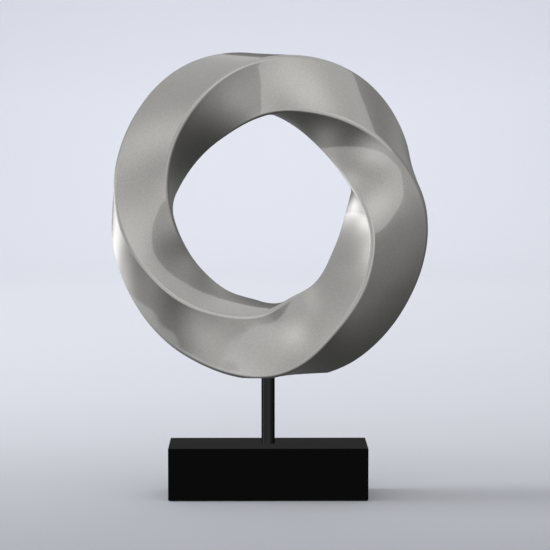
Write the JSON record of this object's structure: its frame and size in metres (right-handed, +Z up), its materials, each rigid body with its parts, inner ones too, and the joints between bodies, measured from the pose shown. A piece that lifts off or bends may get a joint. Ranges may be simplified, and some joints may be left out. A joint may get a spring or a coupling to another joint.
{
  "type": "knot sculpture",
  "caption": "Free-standing metal sculpture: a twisted ring of square section held above a plain black block by a slender rod.",
  "frame": {"origin": "middle of the underside of the felt sheet, where the sculpture rests", "axes": "+Z up along the rod to the top of the ring, +X along the width of the block, front faces -Y"},
  "size_m": [0.3186, 0.1097, 0.4475],
  "materials": {
    "ring_metal": "satin cast aluminium, fine grain, clear wax",
    "block_paint": "matt black powder coat on a solid steel block",
    "rod_paint": "satin black paint on steel tube",
    "fastener_steel": "zinc-plated steel",
    "insert_steel": "plain turned steel",
    "felt": "pressed black felt"
  },
  "bodies": {
    "root": {"ring": "ring_metal", "threaded_insert": "insert_steel", "rod": "rod_paint", "base_block": "block_paint", "through_bolt": "fastener_steel", "plain_washer": "fastener_steel", "spring_washer": "fastener_steel", "felt_sheet": "felt"}
  },
  "joints": []
}
